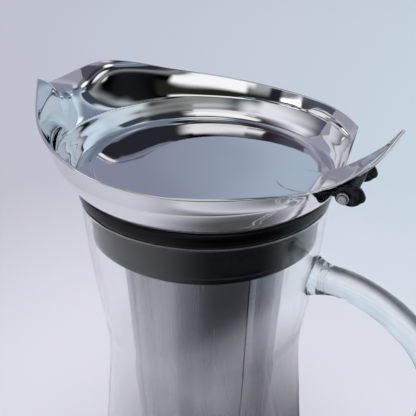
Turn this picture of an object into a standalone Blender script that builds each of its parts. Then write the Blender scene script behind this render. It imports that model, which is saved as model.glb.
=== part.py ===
"""Cold brew coffee pitcher: glass carafe with a rod handle, steel pouring collar with a flip
lid, silicone seal and a removable filter tube. Metres. The base stands on z = 0, the spout
points to -X and the handle to +X."""

import math

import bmesh
import bpy
from mathutils import Matrix, Vector

# Glass carafe
mouth_height = 0.232
mouth_radius = 0.0447
glass_wall = 0.002
base_thickness = 0.0045
# height as a share of the mouth height, radius as a share of the mouth radius
glass_shares = (
    (0.000, 1.020), (0.006, 1.090), (0.022, 1.155), (0.055, 1.215), (0.120, 1.244),
    (0.215, 1.232), (0.320, 1.190), (0.430, 1.110), (0.540, 1.035), (0.620, 0.980),
    (0.680, 0.952), (0.725, 0.949), (0.770, 0.965), (0.820, 0.981), (0.870, 0.993),
    (0.920, 1.000), (0.992, 1.000),
)
glass_rows = 28
glass_rim_shares = (0.7, 0.3)

# Glass handle, its centre line as shares of its reach (outward) and its drop (downward)
handle_radius = 0.0052
handle_below_mouth = 0.0281
handle_reach = 0.0522
handle_drop = 0.1069
handle_foot_share = 1.45
handle_foot_length_share = 1.6
handle_shares = (
    (0.000, 0.000), (0.060, 0.000), (0.125, -0.002), (0.205, -0.006), (0.300, -0.002),
    (0.385, 0.008), (0.460, 0.021), (0.565, 0.046), (0.655, 0.076), (0.765, 0.121),
    (0.855, 0.177), (0.920, 0.237), (0.973, 0.328), (1.000, 0.430), (0.998, 0.514),
    (0.985, 0.607), (0.945, 0.700), (0.865, 0.785), (0.750, 0.850), (0.620, 0.900),
    (0.480, 0.938), (0.340, 0.970), (0.220, 0.995), (0.120, 1.014),
)
handle_points = 40
handle_round_resolution = 4

# Pouring collar, pressed from one sheet: radii are given from the mouth's radius
sheet = 0.0009
floor_rise = 0.0004
floor_hole_inside_mouth = 0.0063
floor_beyond_mouth = 0.0009
wall_foot_beyond_mouth = 0.0020
wall_foot_rise = 0.0014
wall_fillet_share = 0.3
bend_beyond_mouth = 0.0048
bend_rise = 0.0085
rim_beyond_mouth = 0.0068
rim_rise = 0.0143
spout_reach = 0.0278
shoulder_rise = 0.0111
# angle from the spout in degrees, share of the spout's reach, share of the shoulder's rise
rim_shares = (
    (0.0, 1.000, 0.350), (6.0, 0.730, 0.600), (12.0, 0.480, 0.930), (20.0, 0.270, 1.000),
    (30.0, 0.147, 0.800), (42.0, 0.080, 0.570), (58.0, 0.030, 0.360), (80.0, 0.010, 0.144),
    (110.0, 0.000, 0.020), (145.0, 0.000, 0.000), (180.0, 0.000, 0.000),
)
# how far up the flare a row lies, and how far out it has come by then
flare_shares = ((0.12, 0.09), (0.36, 0.32), (0.68, 0.65), (1.00, 1.00))
collar_half_turn_steps = 42
# how much closer together the columns stand at the spout than at the back
spout_crowding_share = 0.6
back_cut_beyond_mouth = 0.0009
back_cut_rise = 0.0013

# Sleeve and seal
sleeve_wall = 0.0007
sleeve_depth = 0.0195
sleeve_flange_inside_mouth = 0.0017
seal_wall = 0.0038
seal_flange_height = 0.0060
seal_flange_beyond_mouth = 0.0005
seal_depth = 0.0205
seal_rib_count = 5
seal_rib_depth = 0.0006
# down from a rib's pitch line, and how deep the groove is there, as shares
seal_rib_shares = ((0.30, 1.0), (0.45, 0.0), (0.80, 0.0), (0.95, 1.0))
seal_lip_height = 0.0022
seal_lip_ease_share = 0.15
seal_lead_in = 0.0006

# Filter
filter_wall = 0.0006
filter_top_drop = 0.0080
filter_foot_height = 0.0320
top_ring_height = 0.0115
top_ring_wall = 0.0045
bottom_ring_height = 0.0060
bottom_ring_wall = 0.0008
bottom_ring_lip = 0.0035
bottom_plate_thickness = 0.0008
bottom_plate_rise = 0.0010
seam_width = 0.0024
seam_thickness = 0.0003
seam_angle = math.radians(-31.0)

# Flap disc
disc_inside_mouth = 0.0043
disc_edge_width = 0.0020
disc_rise = 0.0018
disc_thickness = 0.0008
disc_edge_shares = (0.3, 0.5)

# Hinge
pin_beyond_mouth = 0.0061
pin_rise = 0.0045
pin_radius = 0.00125
pin_half_length = 0.0119
pin_play = 0.0001
pin_ring_radius = 0.0018
pin_ring_width = 0.0010
ear_outer = 0.0095
ear_thickness = 0.0012
ear_lobe_radius = 0.0026
# blunt tail of an ear, out and up from the pin as shares of the lobe's radius
ear_tail_shares = ((1.96, -0.25), (2.28, 0.04), (2.30, 0.42))
bracket_plate = 0.0008
bracket_plate_reach = 0.0037
# shares of the lever's run that the bracket's sloping plate lies under, back to front
bracket_runs = (0.690, 0.645, 0.600)
bracket_margin_share = 0.03
lug_half_width = 0.0066
lug_barrel_radius = 0.0020
lug_barrel_angles = (270.0, 530.0)
lug_front_inside_mouth = 0.0034
lug_front_height = 0.0012
lug_front_slope_share = 1.5
lug_throat_share = 0.8
lug_sill_rise = 0.0023
# how far a cutter runs past what it cuts
cutter_share = 1.2

# Thumb lever
lever_sheet = 0.0010
lever_start_inside_mouth = 0.0172
lever_half_width = 0.0081
lever_run = 0.0338
lever_climb = 0.0211
# run share, climb share, half-width share, dish share
lever_shares = (
    (0.000, 0.000, 0.10, 0.0), (0.010, 0.000, 0.28, 0.0), (0.029, 0.000, 0.48, 0.0),
    (0.059, 0.000, 0.66, 0.0), (0.103, 0.000, 0.82, 0.0), (0.161, 0.000, 0.94, 0.0),
    (0.235, 0.000, 1.00, 0.0), (0.305, 0.000, 1.00, 0.0), (0.370, 0.006, 1.00, 0.0),
    (0.430, 0.033, 1.00, 0.0), (0.484, 0.076, 1.00, 0.0), (0.582, 0.175, 1.00, 0.0),
    (0.640, 0.243, 0.98, 0.0), (0.696, 0.317, 0.95, 0.1), (0.746, 0.383, 0.92, 0.3),
    (0.804, 0.461, 0.88, 0.6), (0.857, 0.536, 0.84, 0.9), (0.905, 0.630, 0.71, 1.0),
    (0.946, 0.744, 0.53, 1.0), (0.976, 0.862, 0.31, 0.8), (0.992, 0.945, 0.16, 0.4),
    (1.000, 1.000, 0.06, 0.0),
)
lever_dish = 0.0007
lever_columns = 9
lever_step_share = 0.01

# General
gap = 0.0003
merge_distance = 0.00001
round_steps = 48
small_steps = 24
arc_steps = 9
sharp_angle = math.radians(35.0)

# Sizes that follow
mouth_inner_radius = mouth_radius - glass_wall
handle_top = mouth_height - handle_below_mouth
collar_foot_height = mouth_height + seal_flange_height
floor_hole_radius = mouth_radius - floor_hole_inside_mouth
floor_radius = mouth_radius + floor_beyond_mouth
wall_foot_radius = mouth_radius + wall_foot_beyond_mouth
bend_radius = mouth_radius + bend_beyond_mouth
rim_radius = mouth_radius + rim_beyond_mouth
back_cut_reach = mouth_radius + back_cut_beyond_mouth
seal_plug_radius = mouth_inner_radius - gap
seal_flange_radius = mouth_radius + seal_flange_beyond_mouth
sleeve_radius = seal_plug_radius - seal_wall - gap
sleeve_inner = sleeve_radius - sleeve_wall
sleeve_flange_radius = mouth_radius - sleeve_flange_inside_mouth
filter_radius = sleeve_inner - gap - top_ring_wall - gap
filter_inner = filter_radius - filter_wall
disc_radius = mouth_radius - disc_inside_mouth
disc_field_radius = disc_radius - disc_edge_width
pin_reach = mouth_radius + pin_beyond_mouth
lug_front_reach = mouth_radius - lug_front_inside_mouth
lever_start_reach = mouth_radius - lever_start_inside_mouth
collar_floor_top = collar_foot_height + floor_rise
collar_floor_bottom = collar_floor_top - sheet
sleeve_top = collar_floor_bottom - gap
pin_height = collar_foot_height + pin_rise
disc_top = collar_foot_height + disc_rise
lever_base_height = disc_top + gap + lever_sheet / 2.0
filter_top = collar_foot_height - filter_top_drop
filter_bottom = filter_foot_height


def clear_scene():
    for item in list(bpy.data.objects):
        bpy.data.objects.remove(item, do_unlink=True)


def new_collection(name):
    collection = bpy.data.collections.new(name)
    bpy.context.scene.collection.children.link(collection)
    return collection


def new_material(name, colour, roughness, metallic, alpha=1.0):
    material = bpy.data.materials.new(name)
    material.use_nodes = True
    shader = material.node_tree.nodes["Principled BSDF"]
    shader.inputs["Base Color"].default_value = (*colour, 1.0)
    shader.inputs["Roughness"].default_value = roughness
    shader.inputs["Metallic"].default_value = metallic
    shader.inputs["Alpha"].default_value = alpha
    return material


clear_scene()
parts = new_collection("cold_brew_pitcher")
cutters = new_collection("cutters")


def add_piece(name, mesh, material, parent=None, at=(0.0, 0.0, 0.0)):
    """Link a mesh as a named piece whose points are given from the place `at`."""
    piece = bpy.data.objects.new(name, mesh)
    parts.objects.link(piece)
    mesh.materials.clear()
    mesh.materials.append(material)
    piece.location = at
    if parent is not None:
        piece.parent = parent
        piece.location = Vector(at) - parent.location
    return piece


def add_empty(name, at):
    empty = bpy.data.objects.new(name, None)
    parts.objects.link(empty)
    empty.location = at
    return empty


def as_cutter(piece):
    for owner in list(piece.users_collection):
        owner.objects.unlink(piece)
    cutters.objects.link(piece)
    piece.hide_render = True
    piece.display_type = "WIRE"
    return piece


def cut(piece, cutter):
    boolean = piece.modifiers.new("Cut", "BOOLEAN")
    boolean.operation = "DIFFERENCE"
    boolean.solver = "EXACT"
    boolean.object = as_cutter(cutter)


def hermite(knots, values, at):
    """Smooth value at `at` through (knots, values), with centred slopes."""
    last = len(knots) - 1
    i = max(k for k in range(last) if knots[k] <= at or k == 0)

    def slope(k):
        low, high = max(k - 1, 0), min(k + 1, last)
        return (values[high] - values[low]) / (knots[high] - knots[low])

    span = knots[i + 1] - knots[i]
    t = (at - knots[i]) / span
    rise = values[i + 1] - values[i]
    a = slope(i) * span - rise
    b = rise - slope(i + 1) * span
    return values[i] + rise * t + t * (1.0 - t) * (a * (1.0 - t) + b * t)


def smooth_path(points, count):
    """`count` points spread along a smooth curve through the given points."""
    run = [0.0]
    for first, second in zip(points, points[1:]):
        run.append(run[-1] + math.dist(first, second))
    axes = list(zip(*points))
    stations = [run[-1] * k / (count - 1) for k in range(count)]
    return [tuple(hermite(run, axis, s) for axis in axes) for s in stations]


def turned(name, outline, material, closed=True):
    """Turn an outline of (radius, height) points about the Z axis."""
    count = len(outline)
    edges = [(i, i + 1) for i in range(count - 1)]
    if closed:
        edges.append((count - 1, 0))
    mesh = bpy.data.meshes.new(name)
    mesh.from_pydata([(radius, 0.0, height) for radius, height in outline], edges, [])
    piece = add_piece(name, mesh, material)
    screw = piece.modifiers.new("Screw", "SCREW")
    screw.steps = round_steps
    screw.render_steps = round_steps
    screw.use_merge_vertices = True
    screw.merge_threshold = merge_distance
    screw.use_smooth_shade = True
    return piece


def box_ring(inner, outer, low, high):
    """Outline of a ring of rectangular section, run down its outer side."""
    return [(outer, high), (outer, low), (inner, low), (inner, high)]


def cylinder_y(name, radius, low, high, centre, material, parent=None):
    """Round bar along Y between y = low and y = high, about the point `centre`."""
    mesh = bpy.data.meshes.new(name)
    shape = bmesh.new()
    turn = Matrix.Rotation(math.pi / 2.0, 4, "X")
    shift = Matrix.Translation((0.0, (low + high) / 2.0, 0.0))
    bmesh.ops.create_cone(
        shape, cap_ends=True, segments=small_steps, radius1=radius, radius2=radius,
        depth=high - low, matrix=shift @ turn,
    )
    shape.to_mesh(mesh)
    shape.free()
    mesh.shade_smooth()
    mesh.set_sharp_from_angle(angle=sharp_angle)
    return add_piece(name, mesh, material, parent, centre)


def box(name, low, high, material, turn=0.0):
    """Box between two corners, turned about the Z axis by the angle `turn`."""
    mesh = bpy.data.meshes.new(name)
    shape = bmesh.new()
    bmesh.ops.create_cube(shape, size=1.0)
    for vertex in shape.verts:
        vertex.co = [lo + (c + 0.5) * (hi - lo) for c, lo, hi in zip(vertex.co, low, high)]
    shape.to_mesh(mesh)
    shape.free()
    piece = add_piece(name, mesh, material)
    piece.rotation_euler = (0.0, 0.0, turn)
    return piece


def curve_mesh(curve, rotation=(0.0, 0.0, 0.0)):
    """Closed mesh of a curve with its caps welded; the curve is removed."""
    source = bpy.data.objects.new(curve.name, curve)
    parts.objects.link(source)
    source.rotation_euler = rotation
    bpy.context.view_layer.update()
    evaluated = source.evaluated_get(bpy.context.evaluated_depsgraph_get())
    mesh = bpy.data.meshes.new_from_object(evaluated)
    shape = bmesh.new()
    shape.from_mesh(mesh)
    bmesh.ops.remove_doubles(shape, verts=shape.verts, dist=merge_distance)
    bmesh.ops.transform(shape, matrix=source.matrix_world, verts=shape.verts)
    shape.to_mesh(mesh)
    shape.free()
    bpy.data.objects.remove(source)
    bpy.data.curves.remove(curve)
    return mesh


def side_plate(name, outline, half_width, material, parent=None):
    """Flat outline of (x, z) points given from the hinge pin, thick along Y."""
    curve = bpy.data.curves.new(name, "CURVE")
    curve.dimensions = "2D"
    curve.fill_mode = "BOTH"
    curve.extrude = half_width
    spline = curve.splines.new("POLY")
    spline.points.add(len(outline) - 1)
    for point, (x, z) in zip(spline.points, outline):
        point.co = (x, z, 0.0, 1.0)
    spline.use_cyclic_u = True
    mesh = curve_mesh(curve, (math.pi / 2.0, 0.0, 0.0))
    return add_piece(name, mesh, material, parent, (pin_reach, 0.0, pin_height))


def sheet_between_rows(name, rows, ring, material, thickness, offset, parent=None, at=(0, 0, 0)):
    """Loft a surface through rows of points and thicken it. `ring` closes every row."""
    width = len(rows[0])
    points = [Vector(p) - Vector(at) for row in rows for p in row]
    faces = []
    for r in range(len(rows) - 1):
        for c in range(width if ring else width - 1):
            n = (c + 1) % width
            low, high = r * width, (r + 1) * width
            faces.append((low + c, high + c, high + n, low + n))
    mesh = bpy.data.meshes.new(name)
    mesh.from_pydata(points, [], faces)
    mesh.shade_smooth()
    piece = add_piece(name, mesh, material, parent, at)
    solidify = piece.modifiers.new("Solidify", "SOLIDIFY")
    solidify.thickness = thickness
    solidify.offset = offset
    solidify.use_even_offset = True
    return piece


def arc(centre, radius, start, end, count):
    """Points on an arc, angles in degrees from +X towards +Z."""
    angles = [math.radians(start + (end - start) * k / (count - 1)) for k in range(count)]
    return [(centre[0] + radius * math.cos(a), centre[1] + radius * math.sin(a)) for a in angles]


# Materials
glass = new_material("clear_glass", (0.93, 0.96, 0.97), 0.02, 0.0, 0.35)
mirror_steel = new_material("polished_steel", (0.78, 0.79, 0.81), 0.06, 1.0)
dark_steel = new_material("hinge_steel", (0.30, 0.30, 0.32), 0.25, 1.0)
etched_steel = new_material("etched_steel", (0.46, 0.46, 0.49), 0.38, 1.0)
satin_steel = new_material("satin_steel", (0.60, 0.60, 0.63), 0.30, 1.0)
silicone = new_material("black_silicone", (0.015, 0.015, 0.017), 0.35, 0.0)

# Empties on the joints' axes
filter_slide = add_empty("filter_slide", (0.0, 0.0, filter_bottom))
lid_slide = add_empty("lid_slide", (0.0, 0.0, collar_foot_height))
flap_pivot = add_empty("flap_pivot", (pin_reach, 0.0, pin_height))


def glass_outside():
    """Outer wall from the base up to the rim."""
    rough = [(mouth_radius * r, mouth_height * h) for h, r in glass_shares]
    return smooth_path(rough, glass_rows)


def glass_outline():
    """Inside from the centre of the base up, over the rim, and down the outside."""
    outside = glass_outside()
    inside = [(r - glass_wall, h) for r, h in outside if h > base_thickness]
    rim = [(mouth_radius - glass_wall * share, mouth_height) for share in glass_rim_shares]
    floor = [(0.0, base_thickness), (inside[0][0] - glass_wall, base_thickness)]
    return floor + inside + rim + outside[::-1] + [(0.0, 0.0)]


turned("glass_carafe", glass_outline(), glass, closed=False)


def glass_handle():
    """Bent rod in the plane y = 0 with a flared foot at each end, cut to fit the wall."""
    route = [
        (mouth_inner_radius + handle_reach * out, 0.0, handle_top - handle_drop * down)
        for out, down in handle_shares
    ]
    route = smooth_path(route, handle_points)
    curve = bpy.data.curves.new("glass_handle", "CURVE")
    curve.dimensions = "3D"
    curve.bevel_depth = handle_radius
    curve.bevel_resolution = handle_round_resolution
    curve.use_fill_caps = True
    spline = curve.splines.new("POLY")
    spline.points.add(len(route) - 1)
    for point, place in zip(spline.points, route):
        point.co = (*place, 1.0)
        ends = min(math.dist(place, route[0]), math.dist(place, route[-1]))
        flare = max(0.0, 1.0 - ends / (handle_radius * handle_foot_length_share))
        point.radius = 1.0 + (handle_foot_share - 1.0) * flare ** 2
    handle = add_piece("glass_handle", curve_mesh(curve), glass)
    outside = [(r + gap, h) for r, h in glass_outside()]
    room = [(0.0, mouth_height + handle_radius), (mouth_radius + gap, mouth_height + handle_radius)]
    cut(handle, turned("handle_cutter", room + outside[::-1] + [(0.0, 0.0)], glass, closed=False))


glass_handle()


def rim_at(angle):
    """Radius and height of the collar's rim at an angle from the spout."""
    knots = [row[0] for row in rim_shares]
    reach = hermite(knots, [row[1] for row in rim_shares], angle)
    rise = hermite(knots, [row[2] for row in rim_shares], angle)
    radius = rim_radius + spout_reach * reach
    return radius, collar_foot_height + rim_rise + shoulder_rise * rise


def collar_rows():
    """Rows from the floor's hole out and up to the rim, each once round."""
    half = []
    for k in range(collar_half_turn_steps + 1):
        t = k / collar_half_turn_steps
        half.append(180.0 * t * (1.0 - spout_crowding_share * (1.0 - t)))
    angles = half + [360.0 - a for a in half[-2:0:-1]]
    fillet_in = (wall_foot_radius - floor_radius) * wall_fillet_share
    fillet_up = (wall_foot_rise - floor_rise) * wall_fillet_share
    lower = [
        (floor_hole_radius, collar_floor_top),
        (floor_radius, collar_floor_top),
        (wall_foot_radius - fillet_in, collar_floor_top + fillet_up),
        (wall_foot_radius, collar_foot_height + wall_foot_rise),
        (bend_radius, collar_foot_height + bend_rise),
    ]
    rows = []
    for radius, height in lower:
        rows.append([turn_from_spout(radius, height, a) for a in angles])
    for up, out in flare_shares:
        row = []
        for angle in angles:
            radius, height = rim_at(min(angle, 360.0 - angle))
            row.append(turn_from_spout(
                bend_radius + (radius - bend_radius) * out,
                collar_foot_height + bend_rise + (height - collar_foot_height - bend_rise) * up,
                angle,
            ))
        rows.append(row)
    return rows


def turn_from_spout(radius, height, angle):
    turn = math.radians(angle)
    return (-radius * math.cos(turn), -radius * math.sin(turn), height)


collar = sheet_between_rows(
    "spout_collar", collar_rows(), True, mirror_steel, sheet, -1.0, lid_slide,
    (0.0, 0.0, collar_foot_height),
)
cut(collar, box(
    "back_cutter",
    (back_cut_reach, -rim_radius, collar_foot_height + back_cut_rise),
    (back_cut_reach + rim_radius, rim_radius, collar_foot_height + rim_rise + shoulder_rise),
    mirror_steel,
))

# Sleeve: a neck with a flange under the collar's floor
turned("collar_sleeve", [
    (sleeve_flange_radius, sleeve_top),
    (sleeve_flange_radius, sleeve_top - sleeve_wall),
    (sleeve_radius, sleeve_top - sleeve_wall),
    (sleeve_radius, collar_foot_height - sleeve_depth),
    (sleeve_inner, collar_foot_height - sleeve_depth),
    (sleeve_inner, sleeve_top),
], mirror_steel)


def seal_outline():
    """Flange on the glass rim, ribbed plug inside the mouth, plain bore on the sleeve."""
    plug = seal_plug_radius
    bore = sleeve_radius + gap
    bottom = collar_foot_height - seal_depth
    flange_bottom = mouth_height + gap
    recess = sleeve_top - sleeve_wall - gap
    lip_top = bottom + seal_lip_height
    pitch = (flange_bottom - lip_top) / seal_rib_count
    outline = [
        (sleeve_flange_radius + gap, sleeve_top),
        (seal_flange_radius, sleeve_top),
        (seal_flange_radius, flange_bottom),
        (plug - seal_rib_depth, flange_bottom),
    ]
    for rib in range(seal_rib_count):
        top = flange_bottom - pitch * rib
        for down, deep in seal_rib_shares:
            outline.append((plug - seal_rib_depth * deep, top - pitch * down))
    outline += [
        (plug, lip_top - pitch * seal_lip_ease_share),
        (plug, bottom + seal_lead_in),
        (plug - seal_lead_in, bottom),
        (bore, bottom),
        (bore, recess),
        (sleeve_flange_radius + gap, recess),
    ]
    return outline


turned("lid_seal", seal_outline(), silicone)

# Filter
turned("filter_tube", box_ring(filter_inner, filter_radius, filter_bottom, filter_top), etched_steel)
top_ring_top = filter_top + gap
turned("filter_top_ring", box_ring(
    filter_radius + gap, sleeve_inner - gap, top_ring_top - top_ring_height, top_ring_top,
), satin_steel)
band = filter_radius + gap + bottom_ring_wall
foot = filter_bottom - gap - bottom_ring_wall
turned("filter_bottom_ring", [
    (band, filter_bottom + bottom_ring_height),
    (band, foot),
    (filter_radius - bottom_ring_lip, foot),
    (filter_radius - bottom_ring_lip, foot + bottom_ring_wall),
    (filter_radius + gap, foot + bottom_ring_wall),
    (filter_radius + gap, filter_bottom + bottom_ring_height),
], satin_steel)
plate_low = filter_bottom + bottom_plate_rise
turned("filter_bottom_plate", [
    (0.0, plate_low + bottom_plate_thickness),
    (filter_inner - gap, plate_low + bottom_plate_thickness),
    (filter_inner - gap, plate_low),
    (0.0, plate_low),
], etched_steel, closed=False)
box(
    "filter_seam",
    (filter_radius + gap, -seam_width / 2.0, filter_bottom + bottom_ring_height + gap),
    (filter_radius + gap + seam_thickness, seam_width / 2.0, top_ring_top - top_ring_height - gap),
    satin_steel, seam_angle,
)

# Flap disc: flat field with a turned-down edge
disc_foot = collar_floor_top + gap
disc_shoulder = disc_radius - disc_thickness * disc_edge_shares[0]
disc = turned("flap_disc", [
    (0.0, disc_top),
    (disc_field_radius, disc_top),
    (disc_shoulder, disc_top - disc_thickness * disc_edge_shares[1]),
    (disc_radius, disc_top - disc_thickness),
    (disc_radius, disc_foot),
    (disc_radius - disc_thickness, disc_foot),
    (disc_radius - disc_thickness, disc_top - disc_thickness),
    (0.0, disc_top - disc_thickness),
], mirror_steel, closed=False)


def lever_place(run, climb):
    return lever_start_reach + lever_run * run, lever_base_height + lever_climb * climb


def lever_rows():
    """Stations along the lever; each is a line across it, dished towards its middle."""
    places = [lever_place(row[0], row[1]) for row in lever_shares]
    rows = []
    for k, (_, _, width, dish) in enumerate(lever_shares):
        before = places[max(k - 1, 0)]
        after = places[min(k + 1, len(places) - 1)]
        length = math.dist(before, after)
        up = (-(after[1] - before[1]) / length, (after[0] - before[0]) / length)
        row = []
        for c in range(lever_columns):
            side = 2.0 * c / (lever_columns - 1) - 1.0
            lift = lever_dish * dish * side * side
            row.append((
                places[k][0] + up[0] * lift,
                lever_half_width * width * side,
                places[k][1] + up[1] * lift,
            ))
        rows.append(row)
    return rows


sheet_between_rows(
    "thumb_lever", lever_rows(), False, mirror_steel, lever_sheet, 0.0, flap_pivot,
    (pin_reach, 0.0, pin_height),
)


def below_lever(run, depth):
    """Point, from the pin, that lies `depth` square below the lever's middle surface."""
    knots = [row[0] for row in lever_shares]
    climbs = [row[1] for row in lever_shares]
    low, place, high = (
        lever_place(at, hermite(knots, climbs, at))
        for at in (run - lever_step_share, run, run + lever_step_share)
    )
    length = math.dist(low, high)
    x = place[0] + depth * (high[1] - low[1]) / length
    z = place[1] - depth * (high[0] - low[0]) / length
    return x - pin_reach, z - pin_height


def bracket_top():
    """Top of the bracket from its rear edge: flat at first, then down under the lever."""
    slope = [below_lever(run, lever_sheet / 2.0 + gap) for run in bracket_runs]
    return [(bracket_plate_reach, slope[0][1])] + slope


def bracket_outline():
    """Ear outline from the pin: round lobe, blunt tail and the bracket's top."""
    lobe = arc((0.0, 0.0), ear_lobe_radius, 190.0, 290.0, arc_steps)
    tail = [(ear_lobe_radius * out, ear_lobe_radius * up) for out, up in ear_tail_shares]
    return lobe + tail + bracket_top()


def channel_outline():
    """What is cleared between the ears, up to the underside of the bracket's top."""
    depth = lever_sheet / 2.0 + gap + bracket_plate
    front = below_lever(bracket_runs[-1] - bracket_margin_share, depth)
    knee = below_lever(bracket_runs[0], depth)
    ceiling = bracket_top()[0][1] - bracket_plate
    reach = ear_lobe_radius * ear_tail_shares[-1][0] * cutter_share
    return [
        (-reach, -reach), (reach, -reach), (reach, ceiling), (knee[0], ceiling), knee, front,
        (-reach, front[1]),
    ]


hole_radius = pin_radius + pin_play
pin_place = (pin_reach, 0.0, pin_height)
bracket = side_plate("lever_bracket", bracket_outline(), ear_outer, dark_steel, flap_pivot)
cut(bracket, side_plate(
    "channel_cutter", channel_outline(), ear_outer - ear_thickness, dark_steel,
))
ear_cutter_end = ear_outer * cutter_share
cut(bracket, cylinder_y(
    "ear_hole_cutter", hole_radius, -ear_cutter_end, ear_cutter_end, pin_place, dark_steel,
))


def lug_outline():
    """Foot on the collar's floor, an arm over the low back wall, and a barrel on the pin."""
    floor = collar_floor_top + gap - pin_height
    sill = collar_foot_height + lug_sill_rise - pin_height
    front = lug_front_reach - pin_reach
    wall = math.sqrt(floor_radius ** 2 - lug_half_width ** 2) - gap - pin_reach
    barrel = arc((0.0, 0.0), lug_barrel_radius, *lug_barrel_angles, 2 * arc_steps)
    return [
        (front, floor), (wall, floor), (wall, sill), (-lug_barrel_radius * lug_throat_share, sill),
    ] + barrel[1:] + [
        (front + lug_front_height, floor + lug_front_height * lug_front_slope_share),
        (front, floor + lug_front_height),
    ]


lug = side_plate("hinge_lug", lug_outline(), lug_half_width, dark_steel, lid_slide)
lug_cutter_end = lug_half_width * cutter_share
cut(lug, cylinder_y(
    "lug_hole_cutter", hole_radius, -lug_cutter_end, lug_cutter_end, pin_place, dark_steel,
))

# Hinge pin with a ring outside each ear
cylinder_y(
    "hinge_pin", pin_radius, -pin_half_length, pin_half_length, pin_place, satin_steel, lid_slide,
)
ring_start = ear_outer + gap
for side, end in (("near", -1.0), ("far", 1.0)):
    low, high = sorted((end * ring_start, end * (ring_start + pin_ring_width)))
    name = "pin_ring_" + side
    ring = cylinder_y(name, pin_ring_radius, low, high, pin_place, satin_steel, lid_slide)
    cut(ring, cylinder_y(
        name + "_cutter", hole_radius, -pin_half_length, pin_half_length, pin_place, satin_steel,
    ))


def hang(names, empty):
    """Parent turned pieces to the empty on their joint's axis, without moving them."""
    bpy.context.view_layer.update()
    for name in names:
        piece = bpy.data.objects[name]
        piece.parent = empty
        piece.location = piece.location - empty.location


hang(("filter_tube", "filter_top_ring", "filter_bottom_ring", "filter_bottom_plate",
      "filter_seam"), filter_slide)
hang(("collar_sleeve", "lid_seal"), lid_slide)
hang(("flap_disc",), flap_pivot)
bpy.context.view_layer.update()
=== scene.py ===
"""Cold brew coffee pitcher: glass carafe with a rod handle, mirror-polished pouring collar with a
flip lid, black silicone seal and a satin steel filter tube. Metres, +Z up, spout towards -X."""

import math

import bmesh
import bpy
import numpy as np
from mathutils import Matrix, Vector


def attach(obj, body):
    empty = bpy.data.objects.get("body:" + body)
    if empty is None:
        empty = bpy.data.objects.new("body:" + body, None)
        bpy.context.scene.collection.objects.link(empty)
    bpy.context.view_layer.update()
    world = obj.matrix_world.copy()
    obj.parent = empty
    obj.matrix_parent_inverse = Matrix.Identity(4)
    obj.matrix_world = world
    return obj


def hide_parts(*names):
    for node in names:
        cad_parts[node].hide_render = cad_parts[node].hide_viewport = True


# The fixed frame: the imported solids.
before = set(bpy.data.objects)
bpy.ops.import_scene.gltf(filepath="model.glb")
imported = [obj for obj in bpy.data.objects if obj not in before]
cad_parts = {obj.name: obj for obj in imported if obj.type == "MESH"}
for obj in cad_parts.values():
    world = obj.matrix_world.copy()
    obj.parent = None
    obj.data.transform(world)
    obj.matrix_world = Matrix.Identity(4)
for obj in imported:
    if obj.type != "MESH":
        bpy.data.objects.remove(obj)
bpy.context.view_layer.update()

# ---------------------------------------------------------------- camera
# The photograph is taken from above the near side, a little towards the handle. The lens is set
# for a square picture on a 36 mm sensor, and the camera leans a little to one side.
eye = Vector((0.068245, -0.12114, 0.30293))
ahead = Vector((-0.41431, 0.74739, -0.5195)).normalized()
level = Vector((0.87461, 0.48483, 0.0)).normalized()
lean = math.radians(0.65)
focal_px, picture_px, sensor_mm = 425.0, 416.0, 36.0

upward = level.cross(ahead)
camera_x = level * math.cos(lean) + upward * math.sin(lean)
camera_y = upward * math.cos(lean) - level * math.sin(lean)
turned_so = Matrix((camera_x, camera_y, -ahead)).transposed().to_4x4()
lens = bpy.data.cameras.new("camera")
lens.sensor_width = sensor_mm
lens.lens = focal_px / picture_px * sensor_mm
lens.clip_start = 0.01
lens.clip_end = 100.0
camera = bpy.data.objects.new("camera", lens)
camera.matrix_world = Matrix.Translation(eye) @ turned_so
bpy.context.scene.collection.objects.link(camera)
bpy.context.scene.camera = camera

# ---------------------------------------------------------------- table top
# A wide matt laminate table top, pale blue-grey. Its colour is lighter under and near the pitcher, a painted
# pool of light, and darker and a little warmer on its left side, painted shade, and it reaches past the
# horizon of the picture. The mirrors also see a painted shadow of the pitcher under it and painted shade
# below the camera, with bare table between.
table_half = 14.0
# painted_light_near is a painted pool of light near the pitcher; the darker table_left is painted shade.
table_left, table_right, painted_light_near = "#BFBAC3", "#CFDDE4", "#E2E1E7"
near_radius, far_radius = 0.10, 0.55
painted_shade_colour = "#242429"
# The painted shadow of the pitcher under it, the painted shade below the camera, and the gap that parts
# them: the middle and the reach of each, half the width of its soft edge, and its depth.
painted_pitcher_shadow = (0.05, 0.015, 0.0), 0.115, 0.065, 0.88
painted_camera_side_shade = (0.36, -0.24, 0.0), 0.34, 0.18, 1.0
gap = (0.05, 0.015, 0.0), 0.17, 0.03, 1.0


def linear(colour):
    """sRGB hex to linear: a channel c becomes c/12.92 below 0.04045, else ((c+0.055)/1.055)^2.4."""
    c = np.array([int(colour[i:i + 2], 16) for i in (1, 3, 5)]) / 255.0
    return tuple(np.where(c <= 0.04045, c / 12.92, ((c + 0.055) / 1.055) ** 2.4)) + (1.0,)


def new_material(name, sockets):
    """A material, its node tree, and its Principled shader with the sockets set."""
    material = bpy.data.materials.new(name)
    material.use_nodes = True
    shader = material.node_tree.nodes["Principled BSDF"]
    for socket, value in sockets.items():
        shader.inputs[socket].default_value = value
    return material, material.node_tree, shader


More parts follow.
